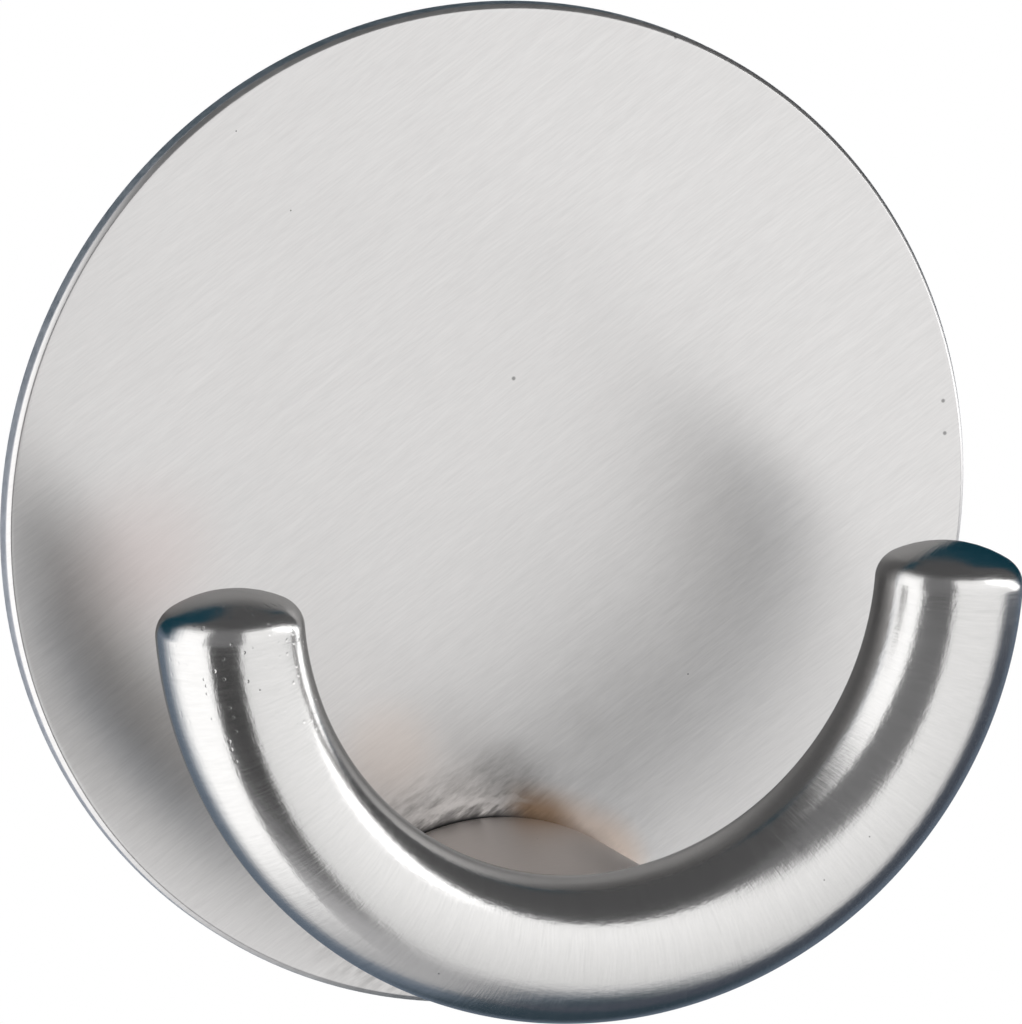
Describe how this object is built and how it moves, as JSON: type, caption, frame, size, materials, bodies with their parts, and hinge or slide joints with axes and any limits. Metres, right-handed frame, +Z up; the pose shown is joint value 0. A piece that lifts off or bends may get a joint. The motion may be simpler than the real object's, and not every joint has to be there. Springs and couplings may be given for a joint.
{
  "type": "adhesive wall hook",
  "caption": "Round brushed steel backplate on a foam adhesive pad, with a U-shaped hook of round bar standing in front of it on a short oval stem.",
  "frame": {"origin": "centre of the adhesive face, on the wall", "axes": "+Z up the wall, +Y into the wall, so the hook stands out towards -Y, and +X to the right when facing the wall"},
  "size_m": [0.055, 0.0227, 0.055],
  "materials": {
    "foam_adhesive": "closed-cell foam tape, matt edge and tacky faces",
    "brushed_plate": "stainless steel with a straight brushed grain",
    "screw_steel": "plain stainless steel",
    "satin_bar": "stainless steel, satin polished"
  },
  "bodies": {
    "root": {"adhesive_pad": "foam_adhesive", "backplate": "brushed_plate", "fixing_screws": "screw_steel", "stem": "satin_bar", "hook_bar": "satin_bar"}
  },
  "joints": []
}
